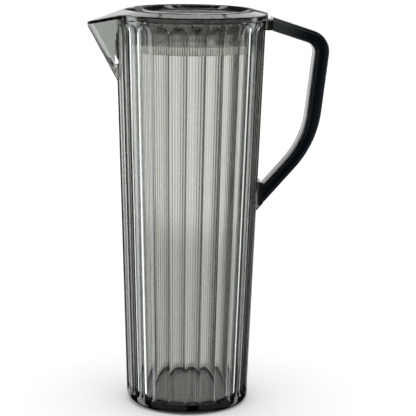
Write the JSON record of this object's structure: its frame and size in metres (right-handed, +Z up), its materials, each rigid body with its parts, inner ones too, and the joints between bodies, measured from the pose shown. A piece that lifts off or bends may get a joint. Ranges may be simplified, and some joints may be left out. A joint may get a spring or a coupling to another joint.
{
  "type": "fridge jug",
  "caption": "Tall tapered fluted jug in clear smoked plastic with a V-shaped pouring spout, a strap handle and a lift-off lid whose collar plugs into the mouth.",
  "frame": {"origin": "centre of the round foot, on the plane that the jug stands on", "axes": "+Z up along the jug's axis, -X towards the spout, +X towards the handle"},
  "size_m": [0.1681, 0.107, 0.28],
  "materials": {
    "body": "clear smoked-grey moulded plastic, polished",
    "handle": "dark smoked moulded plastic, polished",
    "strip": "dark smoked moulded plastic, polished",
    "lid": "clear smoked-grey moulded plastic, polished",
    "collar": "clear smoked-grey moulded plastic, polished"
  },
  "bodies": {
    "jug": {"jug_body": "body", "handle_shell": "handle", "handle_strip": "strip"},
    "lid": {"lid_cover": "lid", "lid_collar": "collar"}
  },
  "joints": [
    {"name": "lid_lift", "type": "slide", "parent": "jug", "child": "lid", "axis": [0, 0, 1], "range_m": [0, 0.07]}
  ]
}
